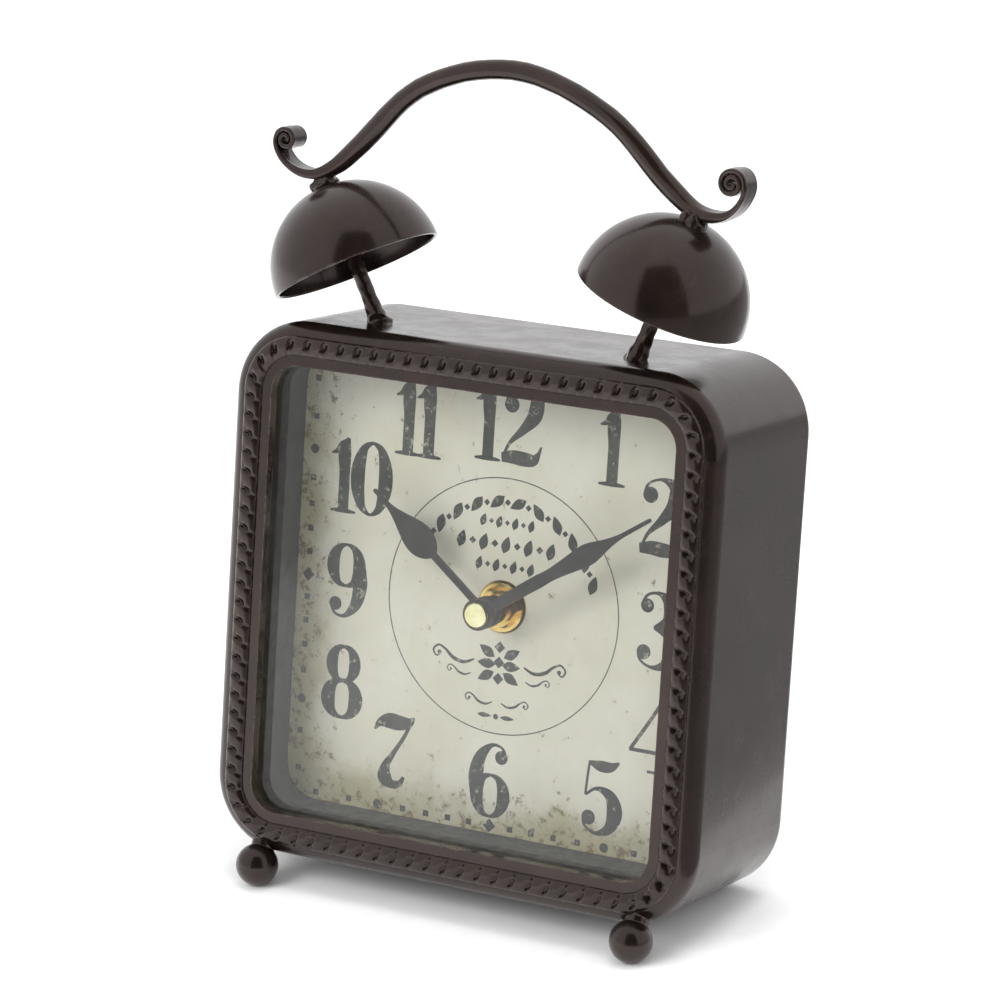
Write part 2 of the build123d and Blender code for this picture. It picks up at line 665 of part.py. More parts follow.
def circuit_board():
    """Small board with its bonded chip."""
    board = block(BOARD_X, BOARD_Y, BOARD_Z)
    chip = disc(2.5, BOARD_Y[0] - 0.5, BOARD_Y[0], sum(BOARD_X) / 2 + 4, sum(BOARD_Z) / 2)
    return board + chip


def quartz_crystal():
    """The metal can of the timekeeping crystal, lying on the board."""
    radius = 1.0
    spot = Pos(BOARD_X[0] + 5, BOARD_Y[0] - radius, BOARD_Z[1] - 3)
    return spot * Rot(0, 90, 0) * Cylinder(radius, 6.2)


def battery_aa():
    line = Pos(0, BATTERY_Y, BATTERY_Z) * Rot(0, 90, 0)
    half = BATTERY_LENGTH / 2
    body = line * Pos(0, 0, -BATTERY_NUB / 2) * Cylinder(BATTERY_RADIUS, BATTERY_LENGTH - BATTERY_NUB)
    ends = body.edges().filter_by(GeomType.CIRCLE)
    body = fillet(ends, 0.6)
    return body + line * Pos(0, 0, half - BATTERY_NUB / 2) * Cylinder(2.7, BATTERY_NUB)


def battery_contact(side):
    """A plated plate at one end of the bay, with a raised button just clear of the cell."""
    x = SIDES[side] * (INSIDE - CONTACT_THICK / 2)
    half = CONTACT_THICK / 2
    height = (BATTERY_Z - CONTACT_HEIGHT / 2, BATTERY_Z + CONTACT_HEIGHT / 2)
    plate = block((x - half, x + half), (CONTACT_FRONT, BODY_BACK - 1.0), height)
    button = Pos(x - SIDES[side] * CONTACT_THICK, BATTERY_Y, BATTERY_Z) * Rot(0, 90, 0)
    return plate + button * Cylinder(2.5, CONTACT_THICK)


# --- Assembly -------------------------------------------------------------------------------
def clock_parts():
    """Every node of the clock, square to the case."""
    parts = {
        "case_shell": case_shell(),
        "rope_trim": rope_trim(),
        "glass_pane": glass_pane(),
        "inner_frame": inner_frame(),
        "dial_paper": dial_paper(),
        "dial_plate": dial_plate(),
        "dial_brackets": dial_brackets(),
        "dial_screws": dial_screws(),
        "back_cover": back_cover(),
        "back_screws": back_screws(),
        "handle": handle(),
        "movement_front_case": movement_front_case(),
        "movement_back_case": movement_back_case(),
        "movement_gasket": movement_gasket(),
        "spindle_bushing": spindle_bushing(),
        "dial_washer": dial_washer(),
        "dial_nut": dial_nut(),
        "minute_hand": minute_hand(),
        "hour_hand": hour_hand(),
        "hand_nut": hand_nut(),
        "cannon_pinion": cannon_pinion(),
        "hour_wheel": hour_wheel(),
        "minute_wheel": minute_wheel(),
        "setting_knob": setting_knob(),
        "centre_wheel": centre_wheel(),
        "third_wheel": third_wheel(),
        "fourth_wheel": fourth_wheel(),
        "fifth_wheel": fifth_wheel(),
        "rotor": rotor(),
        "stator": stator(),
        "coil": coil(),
        "coil_core": coil_core(),
        "circuit_board": circuit_board(),
        "quartz_crystal": quartz_crystal(),
        "battery_aa": battery_aa(),
    }
    for side in SIDES:
        parts[f"foot_{side}"] = ball_foot(side)
        parts[f"post_{side}"] = post(side)
        parts[f"bell_{side}"] = bell(side)
        touching = parts[f"bell_{side}"], parts["handle"], parts[f"post_{side}"]
        parts[f"crown_weld_{side}"] = crown_weld(side, *touching)
        parts[f"battery_contact_{side}"] = battery_contact(side)
    return parts


def stand(parts):
    """Where the clock stands: leant back, on the table, with the origin under its middle."""
    lean = Rot(-lean_back(), 0, 0)
    bounds = Compound([lean * shape for shape in parts.values()]).bounding_box()
    return Pos(0, -bounds.center().Y, -bounds.min.Z) * lean


def main():
    os.makedirs("parts", exist_ok=True)
    parts = clock_parts()
    standing = stand(parts)
    for name, shape in parts.items():
        export_step(standing * shape, f"parts/{name}.step")


if __name__ == "__main__":
    main()
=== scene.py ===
import json
from math import ceil, copysign, cos, exp, floor, hypot, pi, radians, sin, sqrt

import bmesh
import bpy
from mathutils import Matrix, Vector, noise


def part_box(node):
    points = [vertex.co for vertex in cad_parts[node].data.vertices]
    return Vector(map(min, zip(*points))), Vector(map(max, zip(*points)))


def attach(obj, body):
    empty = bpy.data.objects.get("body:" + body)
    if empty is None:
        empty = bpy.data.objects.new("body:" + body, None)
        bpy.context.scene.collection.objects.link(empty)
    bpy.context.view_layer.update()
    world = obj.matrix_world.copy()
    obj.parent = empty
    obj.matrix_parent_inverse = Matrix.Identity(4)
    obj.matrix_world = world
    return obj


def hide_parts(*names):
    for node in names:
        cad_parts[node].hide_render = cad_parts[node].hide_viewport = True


# The look of a square bronze table clock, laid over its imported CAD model.
#
# Pieces are drawn in the clock's own square frame, in millimetres: X right, Y back, Z up, zero at
# the middle of the case's front face. SQUARE carries that frame to the leaned clock, in metres.

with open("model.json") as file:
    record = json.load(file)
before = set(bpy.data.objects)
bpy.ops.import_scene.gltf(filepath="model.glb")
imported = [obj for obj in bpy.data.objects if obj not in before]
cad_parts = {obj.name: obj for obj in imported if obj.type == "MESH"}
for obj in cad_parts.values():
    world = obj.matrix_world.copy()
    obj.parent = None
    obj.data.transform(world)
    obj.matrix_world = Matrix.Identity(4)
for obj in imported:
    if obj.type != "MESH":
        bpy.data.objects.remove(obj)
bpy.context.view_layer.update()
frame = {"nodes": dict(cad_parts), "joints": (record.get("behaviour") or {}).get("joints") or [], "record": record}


def square_frame():
    """The matrix from the clock's square frame in millimetres to the row frame in metres."""
    spin = next(j for j in frame["joints"] if j["name"] == "minute_hand_spin")
    on_axis = Vector(spin["pos_m"])
    lean = Vector((0, 1, 0)).rotation_difference(Vector(spin["axis"])).to_matrix()
    upright = lean.inverted()
    shell = frame["nodes"]["case_shell"].data.vertices
    front = min((upright @ (v.co - on_axis)).y for v in shell)
    turn = lean.to_4x4()
    return Matrix.Translation(on_axis) @ turn @ Matrix.Translation((0, front, 0)) @ Matrix.Scale(0.001, 4)


SQUARE = square_frame()
TO_SQUARE = SQUARE.inverted()


def square_box(node):
    """(lowest corner, highest corner) of a CAD node in the square frame."""
    points = [TO_SQUARE @ v.co for v in frame["nodes"][node].data.vertices]
    low = Vector(min(p[axis] for p in points) for axis in range(3))
    return low, Vector(max(p[axis] for p in points) for axis in range(3))


# --- Driving dimensions, in millimetres and degrees; the boxes are read from the CAD ----------
ROPE_LOW, ROPE_HIGH = square_box("rope_trim")
ROPE_WIDTH = 5.6
ROPE_CORNER = 16.5
ROPE_PITCH = 5.3
ROPE_SLANT = 0.24
ROPE_BACK = 0.4
# Places across the rope run from -1 inside to 1 outside, and widths along it are shares of one
# strand. Depths are shares of its rise, and a pit pinches it by a share of its half-width.
ROPE_PIT = 0.9
ROPE_CREASE = 0.28
CREASE_WIDTH = 0.15
PIT_MIDDLE = 0.12
PIT_REACH = 0.48
PIT_WIDTH = 0.24
PIT_SPREAD = 0.12
PIT_LIP = 0.05
PIT_PINCH = 0.12

DIAL_FRONT = square_box("dial_paper")[0].y
INK = 0.03
INK_LAYER = 0.004
INK_LAYERS = 5

NUMERAL_HEIGHT = 21.6
NUMERAL_WIDTH = 26.5
NARROW = 0.8
ADVANCE = {"1": 6.6, "0": 11.8, "2": 14.6}
TRACK = 62.4
LOZENGE_MARK = 2.0
ROUND_MARK = 1.35
SQUARE_MARK = 1.7
RING_RADIUS = 36.0
RING_LINE = 0.32
BORDER_RADIUS = 29.3

BAR_Y = 18.5
POST_X = 39.8
POST_RADIUS = 2.1
POST_FLARE = 1.5
FLARE_FADE = 2.6
POST_SUNK = 2.5
POST_AROUND = 28
POST_RINGS = 90
CASE_TOP = square_box("case_shell")[1].z
POST_LEAN = {"left": -28.5, "right": 20.5}
CROWN_HEIGHT = {"left": 40.8, "right": 41.1}
# Lumps of weld as (x, y, height above the crown, radius, half-height), in the leaning post's frame.
CROWN_LUMPS = {
    "left": [(0, 0, 0.0, 4.2, 1.5), (0.2, 0, 1.3, 3.2, 2.2), (-1.6, -1.4, 0.6, 2.4, 1.8),
             (1.8, -1.2, 0.8, 2.2, 1.7), (0.6, 1.8, 0.8, 2.4, 1.8)],
    "right": [(0, 0, 0.0, 3.9, 1.5), (0, 0, 1.2, 3.2, 2.0), (-1.7, -3.0, 0.1, 1.6, 3.2),
              (1.0, -3.3, -0.6, 1.7, 3.8), (3.2, -2.2, -1.2, 1.6, 2.9), (0.4, 2.2, 0.6, 2.2, 1.8)],
}

# Hand-worked surfaces as (size of the lumps, how far they stand proud).
HAMMER_MARKS = (5.0, 0.06)
POST_LUMPS = (2.2, 0.15)
POST_FOOT_LUMPS = 1.1
WELD_LUMPS = (1.3, 0.35)
WELD_GRAIN = 0.0003  # metres, the smallest detail kept in a weld

BAR_RADIUS = 2.75
BAR_AROUND = 32
ARCH = ((-50.4, 122.1), (-31.0, 141.0), (-2.5, 148.5), (27.2, 138.7), (48.6, 120.4))
STRIP_HALF_THICK = 0.7
STRIP_HALF_WIDTH = 3.75
CURL_STEPS = 12
CURL_PITCH = 1.6
CURL_TURNS = {"left": 1.6, "right": 2.0}
CURL_RADIUS = {"left": 3.2, "right": 3.9}
CURL_HUB = {"left": (71.0, 123.1), "right": (65.6, 125.3)}
# The strip between roll and bar: (x outwards, z, half-thickness, half-width, flatness).
CURL_RUN = {
    "left": [(71.7, 117.6, 0.8, 3.75, 1.0), (67.3, 114.8, 1.15, 3.7, 0.9),
             (61.4, 114.3, 1.7, 3.5, 0.6), (56.2, 116.9, 2.3, 3.1, 0.3)],
    "right": [(67.6, 119.4, 0.8, 3.75, 1.0), (64.2, 116.6, 1.2, 3.7, 0.9),
              (59.3, 115.8, 1.8, 3.5, 0.6), (54.0, 116.9, 2.3, 3.1, 0.3)],
}


# --- Mesh helpers -----------------------------------------------------------------------------
def piece(name, points, faces, material, body="case", smooth=True):
    """A mesh object from points in the square frame, riding on a CAD body."""
    mesh = bpy.data.meshes.new(name)
    mesh.from_pydata([SQUARE @ Vector(p) for p in points], [], faces)
    mesh.update()
    mesh.polygons.foreach_set("use_smooth", [smooth] * len(mesh.polygons))
    mesh.materials.append(material)
    made = bpy.data.objects.new(name, mesh)
    bpy.context.scene.collection.objects.link(made)
    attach(made, body)
    return made


def tube_faces(rings, around, closed):
    """Quads between successive rings of points; closed joins the last ring to the first."""
    faces = []
    for ring in range(rings if closed else rings - 1):
        here = ring * around
        there = (ring + 1) % rings * around
        for step in range(around):
            after = (step + 1) % around
            faces.append((here + step, here + after, there + after, there + step))
    return faces


def capped_tube(rings, around):
    """The faces of an open run of rings, and one more face over each end."""
    ends = [tuple(range(around))[::-1], tuple(range((rings - 1) * around, rings * around))]
    return tube_faces(rings, around, False) + ends


def smooth_line(knots, steps):
    """Points along a smooth curve through the knots; a knot's first two numbers are its place."""
    places = [Vector(knot) for knot in knots]
    chords = [hypot(b[0] - a[0], b[1] - a[1]) for a, b in zip(places, places[1:])]
    rates = [(b - a) / chord for a, b, chord in zip(places, places[1:], chords)]
    slopes = [rates[0]]
    for before, after, near, far in zip(rates, rates[1:], chords, chords[1:]):
        slopes.append((before * far + after * near) / (near + far))
    slopes.append(rates[-1])
    line = []
    for k, chord in enumerate(chords):
        for step in range(steps):
            t = step / steps
            here = places[k] * (1 - 3 * t**2 + 2 * t**3) + places[k + 1] * (3 * t**2 - 2 * t**3)
            bend = slopes[k] * (t - 2 * t**2 + t**3) + slopes[k + 1] * (t**3 - t**2)
            line.append(tuple(here + bend * chord))
    return line + [tuple(knots[-1])]


def roughened(point, size, depth):
    """How far hand-worked metal stands proud at a point, for lumps of one size."""
    return depth * noise.noise(Vector(point) / size)


# --- Rope moulding ----------------------------------------------------------------------------
def rounded_path(half_width, half_height, corner, spacing):
    """(point, outward normal) pairs, clockwise from the front, round a rounded rectangle."""
    path = []
    corners = ((1, 1, 90), (1, -1, 0), (-1, -1, -90), (-1, 1, -180))
    for sign_x, sign_z, start in corners:
        middle = Vector((sign_x * (half_width - corner), sign_z * (half_height - corner)))
        arc_steps = ceil(corner * pi / 2 / spacing)
        for step in range(arc_steps + 1):
            angle = radians(start - 90 * step / arc_steps)
            normal = Vector((cos(angle), sin(angle)))
            path.append((middle + corner * normal, normal))
    full = []
    for here, there in zip(path, path[1:] + path[:1]):
        gap = (there[0] - here[0]).length
        count = max(1, round(gap / spacing))
        for i in range(count):
            full.append((here[0].lerp(there[0], i / count), here[1].lerp(there[1], i / count)))
    return full


def rope_pit(out, strand):
    """How deep the rope is cut at a place across it and along it, the second in strands."""
    turn = strand - ROPE_SLANT * out
    share = turn - floor(turn)
    crease = ROPE_CREASE * max(0.0, 1 - min(share, 1 - share) / CREASE_WIDTH)
    swell = PIT_WIDTH + PIT_SPREAD * max(0.0, PIT_MIDDLE - out)
    within = exp(-(((out - PIT_MIDDLE) / PIT_REACH) ** 4))
    hole = within * exp(-((share / swell) ** 2))
    lip = within * exp(-(((1 - share) / PIT_LIP) ** 2))
    return max(crease, hole, lip)


def rope_moulding():
    """A half-round bead, creased between strands and pitted along its middle, closed behind."""
    spacing = 0.36
    across = 20
    rise = -ROPE_LOW.y
    half = ROPE_WIDTH / 2
    path = rounded_path(ROPE_HIGH.x - half, ROPE_HIGH.z - half, ROPE_CORNER - half, spacing)
    length = sum((b[0] - a[0]).length for a, b in zip(path, path[1:] + path[:1]))
    strands = round(length / ROPE_PITCH)
    points = []
    pits = []
    run = 0.0
    for index, (spot, normal) in enumerate(path):
        if index:
            run += (spot - path[index - 1][0]).length
        for step in range(across + 1):
            out = cos(pi * step / across)
            pit = rope_pit(out, strands * run / length)
            dome = sqrt(max(0.0, 1 - out**2))
            place = spot + normal * out * half * (1 - PIT_PINCH * pit)
            points.append((place.x, -rise * dome * (1 - ROPE_PIT * pit), place.y))
            pits.append(pit)
        foot = spot - normal * half * 0.5
        points.append((foot.x, ROPE_BACK, foot.y))
        pits.append(0.0)
    rope = piece("rope_moulding", points, tube_faces(len(path), across + 2, True), rope_paint())
    rope.data.attributes.new("pit", "FLOAT", "POINT").data.foreach_set("value", pits)
    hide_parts("rope_trim")


# --- Printing on the dial ---------------------------------------------------------------------
class Print:
    """Flat ink shapes on the dial, gathered into one mesh."""

    def __init__(self):
        self.points = []
        self.faces = []
        self.layer = 0

    def strip(self, left, right):
        """A thin closed slab between two lines of (x, z) points."""
        self.layer = (self.layer + 1) % INK_LAYERS
        first = len(self.points)
        front = DIAL_FRONT - INK - INK_LAYER * self.layer
        for (lx, lz), (rx, rz) in zip(left, right):
            self.points += [(lx, front, lz), (rx, front, rz), (rx, DIAL_FRONT, rz), (lx, DIAL_FRONT, lz)]
        self.faces += [tuple(first + i for i in face) for face in tube_faces(len(left), 4, False)]
        last = first + 4 * (len(left) - 1)
        self.faces += [(first, first + 3, first + 2, first + 1), (last, last + 1, last + 2, last + 3)]

    def stroke(self, knots, place, scale=(1.0, 1.0), steps=7):
        """A pen stroke through (x, z, half-width) knots, placed and scaled."""
        line = smooth_line([(x * scale[0], z * scale[1], w * scale[0]) for x, z, w in knots], steps)
        left, right = [], []
        for index, (x, z, half) in enumerate(line):
            before = line[max(index - 1, 0)]
            after = line[min(index + 1, len(line) - 1)]
            run = hypot(after[0] - before[0], after[1] - before[1]) or 1.0
            side_x = -(after[1] - before[1]) / run * half
            side_z = (after[0] - before[0]) / run * half
            left.append((place[0] + x + side_x, place[1] + z + side_z))
            right.append((place[0] + x - side_x, place[1] + z - side_z))
        self.strip(left, right)

    def dot(self, x, z, radius, sides=16):
        """A filled dot; four sides make a lozenge."""
        turns = [radians(360 / sides * i) for i in range(sides // 2 + 1)]
        top = [(x + radius * cos(t), z + radius * sin(t)) for t in turns]
        bottom = [(x + radius * cos(t), z - radius * sin(t)) for t in turns]
        self.strip(bottom, top)

    def bar(self, x, z, width, height):
        """An upright rectangle about its middle."""
        xs = (x - width / 2, x + width / 2)
        self.strip([(v, z - height / 2) for v in xs], [(v, z + height / 2) for v in xs])


def oval(cx, cz, rx, rz, thin, thick, start=90, sweep=360, steps=12):
    """Knots round an ellipse, thick at its sides and thin at its top and bottom."""
    knots = []
    for step in range(steps + 1):
        angle = radians(start + sweep * step / steps)
        side = abs(cos(angle)) ** 1.6
        knots.append((cx + rx * cos(angle), cz + rz * sin(angle), thin + (thick - thin) * side))
    return knots


# Each figure is a list of strokes of (x, z, half-width) and of ball ends (x, z, radius), in a cell
# one high and about half as wide, after the fat-faced figures of old clock dials.
FIGURES = {
    "0": ([oval(0, 0.5, 0.17, 0.475, 0.015, 0.085)], []),
    "1": (
        [
            [(0.02, 0.02, 0.08), (0.02, 0.5, 0.08), (0.02, 0.86, 0.08), (0.06, 0.99, 0.025)],
            [(-0.17, 0.02, 0.014), (-0.08, 0.025, 0.026), (0.12, 0.025, 0.026), (0.21, 0.02, 0.014)],
            [(-0.19, 0.77, 0.01), (-0.11, 0.80, 0.035), (-0.03, 0.88, 0.06), (0.05, 0.97, 0.02)],
        ],
        [],
    ),
    "2": (
        [
            [(-0.2, 0.74, 0.02), (-0.17, 0.88, 0.015), (0.0, 0.97, 0.02), (0.15, 0.88, 0.075),
             (0.15, 0.68, 0.085), (0.02, 0.46, 0.05), (-0.14, 0.25, 0.02), (-0.21, 0.06, 0.015)],
            [(-0.22, 0.07, 0.05), (-0.08, 0.09, 0.072), (0.06, 0.08, 0.075), (0.16, 0.09, 0.06),
             (0.21, 0.17, 0.025), (0.24, 0.27, 0.010)],
        ],
        [(-0.13, 0.76, 0.085)],
    ),
    "3": (
        [
            [(-0.18, 0.80, 0.02), (-0.13, 0.93, 0.015), (0.0, 0.975, 0.02), (0.13, 0.87, 0.075),
             (0.12, 0.64, 0.06), (-0.03, 0.53, 0.015)],
            [(-0.03, 0.53, 0.015), (0.13, 0.46, 0.06), (0.18, 0.27, 0.085), (0.1, 0.06, 0.05),
             (-0.04, 0.02, 0.018), (-0.18, 0.12, 0.015), (-0.19, 0.22, 0.02)],
        ],
        [(-0.12, 0.80, 0.075), (-0.13, 0.2, 0.08)],
    ),
    "4": (
        [
            [(0.1, 0.02, 0.075), (0.1, 0.5, 0.075), (0.1, 0.97, 0.075)],
            [(0.08, 0.97, 0.02), (-0.1, 0.6, 0.02), (-0.27, 0.27, 0.02)],
            [(-0.28, 0.27, 0.02), (0.26, 0.27, 0.02)],
            [(-0.06, 0.015, 0.015), (0.26, 0.015, 0.015)],
        ],
        [],
    ),
    "5": (
        [
            [(-0.15, 0.93, 0.02), (-0.02, 0.9, 0.06), (0.1, 0.91, 0.05), (0.19, 0.98, 0.012)],
            [(-0.15, 0.95, 0.014), (-0.17, 0.7, 0.014), (-0.18, 0.5, 0.014)],
            [(-0.18, 0.5, 0.014), (-0.06, 0.6, 0.02), (0.1, 0.54, 0.06), (0.17, 0.33, 0.09),
             (0.1, 0.09, 0.055), (-0.05, 0.02, 0.018), (-0.18, 0.12, 0.015), (-0.19, 0.22, 0.02)],
        ],
        [(-0.13, 0.21, 0.08)],
    ),
    "6": (
        [
            oval(0.0, 0.3, 0.16, 0.275, 0.015, 0.075),
            [(0.16, 0.84, 0.02), (0.12, 0.94, 0.015), (0.02, 0.975, 0.018), (-0.11, 0.85, 0.055),
             (-0.18, 0.55, 0.085), (-0.165, 0.3, 0.075)],
        ],
        [(0.11, 0.82, 0.075)],
    ),
    "7": (
        [
            [(-0.23, 0.74, 0.01), (-0.18, 0.83, 0.04), (-0.08, 0.88, 0.08), (0.08, 0.88, 0.08),
             (0.19, 0.91, 0.05), (0.24, 0.98, 0.012)],
            [(0.22, 0.94, 0.02), (0.12, 0.68, 0.022), (0.0, 0.44, 0.03), (-0.08, 0.26, 0.055),
             (-0.08, 0.13, 0.085), (0.01, 0.05, 0.05), (0.1, 0.07, 0.035), (0.15, 0.17, 0.018)],
        ],
        [],
    ),
    "8": (
        [
            oval(0, 0.735, 0.14, 0.235, 0.018, 0.07),
            oval(0, 0.27, 0.17, 0.25, 0.018, 0.085),
        ],
        [],
    ),
}
HALF_TURNED = {"9": "6"}

NUMERAL_PLACES = {
    "12": (-0.6, 51.0), "1": (30.7, 49.0), "2": (46.6, 32.0), "3": (47.6, 0.7),
    "4": (49.2, -28.3), "5": (34.1, -48.3), "6": (-0.3, -49.5), "7": (-32.0, -46.2),
    "8": (-49.4, -29.1), "9": (-50.2, -0.1), "10": (-46.9, 29.9), "11": (-29.8, 48.9),
}


def draw_figure(ink, figure, x, z):
    """One figure with its middle at (x, z); a one is cut narrower than the rest."""
    sign = -1 if figure in HALF_TURNED else 1
    strokes, balls = FIGURES[HALF_TURNED.get(figure, figure)]
    width = NUMERAL_WIDTH * (NARROW if figure == "1" else 1.0)
    scale = (sign * width, sign * NUMERAL_HEIGHT)
    foot = (x, z - sign * NUMERAL_HEIGHT / 2)
    for knots in strokes:
        ink.stroke(knots, foot, scale)
    for ball_x, ball_z, radius in balls:
        ink.dot(foot[0] + ball_x * scale[0], foot[1] + ball_z * scale[1], radius * width)


def numerals(ink):
    """The twelve hour numbers, two-figure ones spaced by their figures' widths."""
    for number, (x, z) in NUMERAL_PLACES.items():
        widths = [ADVANCE.get(figure, 0.0) for figure in number]
        left = x - sum(widths) / 2
        for index, figure in enumerate(number):
            draw_figure(ink, figure, left + sum(widths[:index]) + widths[index] / 2, z)


def minute_track(ink):
    """A square ring of minute marks: lozenges at the quarters, round at the fives, square between."""
    for minute in range(60):
        angle = radians(6 * minute)
        reach = TRACK / max(abs(sin(angle)), abs(cos(angle)))
        x, z = reach * sin(angle), reach * cos(angle)
        if minute % 15 == 0:
            ink.dot(x, z, LOZENGE_MARK, 4)
        elif minute % 5 == 0:
            ink.dot(x, z, ROUND_MARK)
        else:
            ink.bar(x, z, SQUARE_MARK, SQUARE_MARK)


def circle(ink, radius, width, steps=144):
    """A thin ring about the middle of the dial."""
    inner, outer = [], []
    for step in range(steps + 1):
        angle = radians(360 / steps * step)
        inner.append(((radius - width / 2) * cos(angle), (radius - width / 2) * sin(angle)))
        outer.append(((radius + width / 2) * cos(angle), (radius + width / 2) * sin(angle)))
    ink.strip(inner, outer)


def leaf(ink, x, z, bearing, length, half):
    """A pointed leaf centred on (x, z)."""
    run = Vector((cos(radians(bearing)), sin(radians(bearing))))
    knots = [(-length / 2, 0.05), (-length / 5, half), (length / 5, half * 0.8), (length / 2, 0.05)]
    ink.stroke([(run.x * along, run.y * along, wide) for along, wide in knots], (x, z))


def scroll(ink, side, x, z, size):
    """An S-shaped flourish that curls at its far end."""
    knots = [(0, 0, 0.2), (1.2, -0.5, 0.4), (2.6, -0.2, 0.45), (3.6, 0.6, 0.3), (4.4, 0.9, 0.25),
             (5.0, 0.3, 0.25), (4.6, -0.3, 0.2), (4.1, 0.0, 0.15)]
    ink.stroke([(side * size * u, size * v, size * w * 0.45) for u, v, w in knots], (x, z))
    ink.dot(x + side * size * 4.25, z + size * 0.12, size * 0.24)


def border(ink):
    """An arc of leaves and lozenges inside the ring."""
    for step in range(-10, 11):
        bearing = 84 - 6.4 * step
        x, z = BORDER_RADIUS * cos(radians(bearing)), BORDER_RADIUS * sin(radians(bearing))
        if step % 2:
            ink.dot(x, z, 0.95, 4)
        else:
            leaf(ink, x, z, bearing + (55 if step > 0 else 125), 5.6, 1.3)


def leaf_rows(ink):
    """Three level rows of leaves and lozenges above the hands."""
    for height, count, size in ((23.6, 7, 1.25), (17.4, 9, 1.75), (11.4, 7, 1.35)):
        for step in range(count):
            x = (step - (count - 1) / 2) * size * 2.0
            if step % 2:
                ink.dot(x, height, size * 0.62, 4)
            else:
                leaf(ink, x, height, 75, size * 2.9, size * 0.72)


def rosette(ink):
    """Leaves fanned out below the hands, between scrolls."""
    for side in (-1, 1):
        for tilt, low in ((30, -13.0), (0, -16.5), (-30, -20.0)):
            leaf(ink, side * 3.9, low, 90 - side * (90 - tilt), 5.6, 1.3)
        scroll(ink, side, side * 7.8, -16.0, 2.6)
        scroll(ink, side, side * 8.6, -20.0, 1.5)
        scroll(ink, side, side * 1.4, -27.2, 1.7)
        leaf(ink, side * 3.6, -31.2, 0, 4.4, 0.6)
    for height in (-11.5, -15.8, -20.4):
        ink.dot(0, height, 1.7, 4)
    ink.dot(0, -31.2, 0.8)


def dial_printing(material):
    """All the ink on the dial as one piece: plain leaf and scroll work stands in for wording."""
    ink = Print()
    numerals(ink)
    minute_track(ink)
    circle(ink, RING_RADIUS, RING_LINE)
    border(ink)
    leaf_rows(ink)
    rosette(ink)
    made = piece("dial_printing", ink.points, ink.faces, material, smooth=False)


# --- Handle, posts and welds ------------------------------------------------------------------
def handle_end(side):
    """Knots of one rolled end, (x outwards, z, half-thickness, half-width, flatness), inside first."""
    hub_x, hub_z = CURL_HUB[side]
    knots = []
    for step in range(round(CURL_TURNS[side] * CURL_STEPS), -1, -1):
        turn = step / CURL_STEPS
        radius = CURL_RADIUS[side] - CURL_PITCH * turn
        place = hub_x + radius * cos(2 * pi * turn), hub_z + radius * sin(2 * pi * turn)
        knots.append((*place, STRIP_HALF_THICK, STRIP_HALF_WIDTH, 1.0))
    return knots + CURL_RUN[side]


def handle_knots():
    """The whole handle from its left inner end to its right inner end."""
    arch = [(x, z, BAR_RADIUS, BAR_RADIUS, 0.0) for x, z in ARCH]
    left = [(-x, *rest) for x, *rest in handle_end("left")]
    return left + arch + handle_end("right")[::-1]


def bar_section(half_thick, half_wide, flat):
    """(thickness, width) places round a bar that is round at flat 0 and a ribbed strip at 1."""
    power = 1 - 0.6 * flat
    section = []
    for step in range(BAR_AROUND):
        turn = 2 * pi * step / BAR_AROUND
        across = copysign(abs(sin(turn)) ** power, sin(turn))
        rib = 1 + 0.12 * flat * cos(2 * pi * across)
        thick = copysign(abs(cos(turn)) ** power, cos(turn)) * rib
        section.append((half_thick * thick, half_wide * across))
    return section


def forged_handle(material):
    """One bar, round over the arch, hammered flat and rolled up at both ends."""
    line = smooth_line(handle_knots(), 8)
    points = []
    for index, (x, z, half_thick, half_wide, flat) in enumerate(line):
        before, after = line[max(index - 1, 0)], line[min(index + 1, len(line) - 1)]
        run = Vector((after[0] - before[0], after[1] - before[1])).normalized()
        for thick, across in bar_section(half_thick, half_wide, flat):
            swell = 1 + roughened((x, across, z + thick), *HAMMER_MARKS)
            thick *= swell
            points.append((x - run.y * thick, BAR_Y + across * swell, z + run.x * thick))
    made = piece("forged_handle", points, capped_tube(len(line), BAR_AROUND), material)
    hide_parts("handle")


def post_frame(side, sign):
    """The leaning post's own frame, zero where its middle line meets the top of the case."""
    foot = Matrix.Translation((sign * POST_X, BAR_Y, CASE_TOP))
    return foot @ Matrix.Rotation(radians(POST_LEAN[side]), 4, "Y")


def forged_post(side, place, material):
    """A rod that spreads into a lumpy weld where it stands on the case."""
    size, depth = POST_LUMPS
    top = CROWN_HEIGHT[side]
    points = []
    for ring in range(POST_RINGS + 1):
        height = -POST_SUNK + (top + POST_SUNK) * ring / POST_RINGS
        near_foot = exp(-max(height, 0.0) / FLARE_FADE)
        for step in range(POST_AROUND):
            turn = 2 * pi * step / POST_AROUND
            spot = Vector((cos(turn), sin(turn), height / POST_RADIUS)) * POST_RADIUS
            radius = POST_RADIUS + POST_FLARE * near_foot
            radius += roughened(spot + place.translation, size, depth + POST_FOOT_LUMPS * near_foot)
            points.append(place @ Vector((radius * cos(turn), radius * sin(turn), height)))
    made = piece(f"forged_post_{side}", points, capped_tube(POST_RINGS + 1, POST_AROUND), material)
    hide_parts(f"post_{side}")


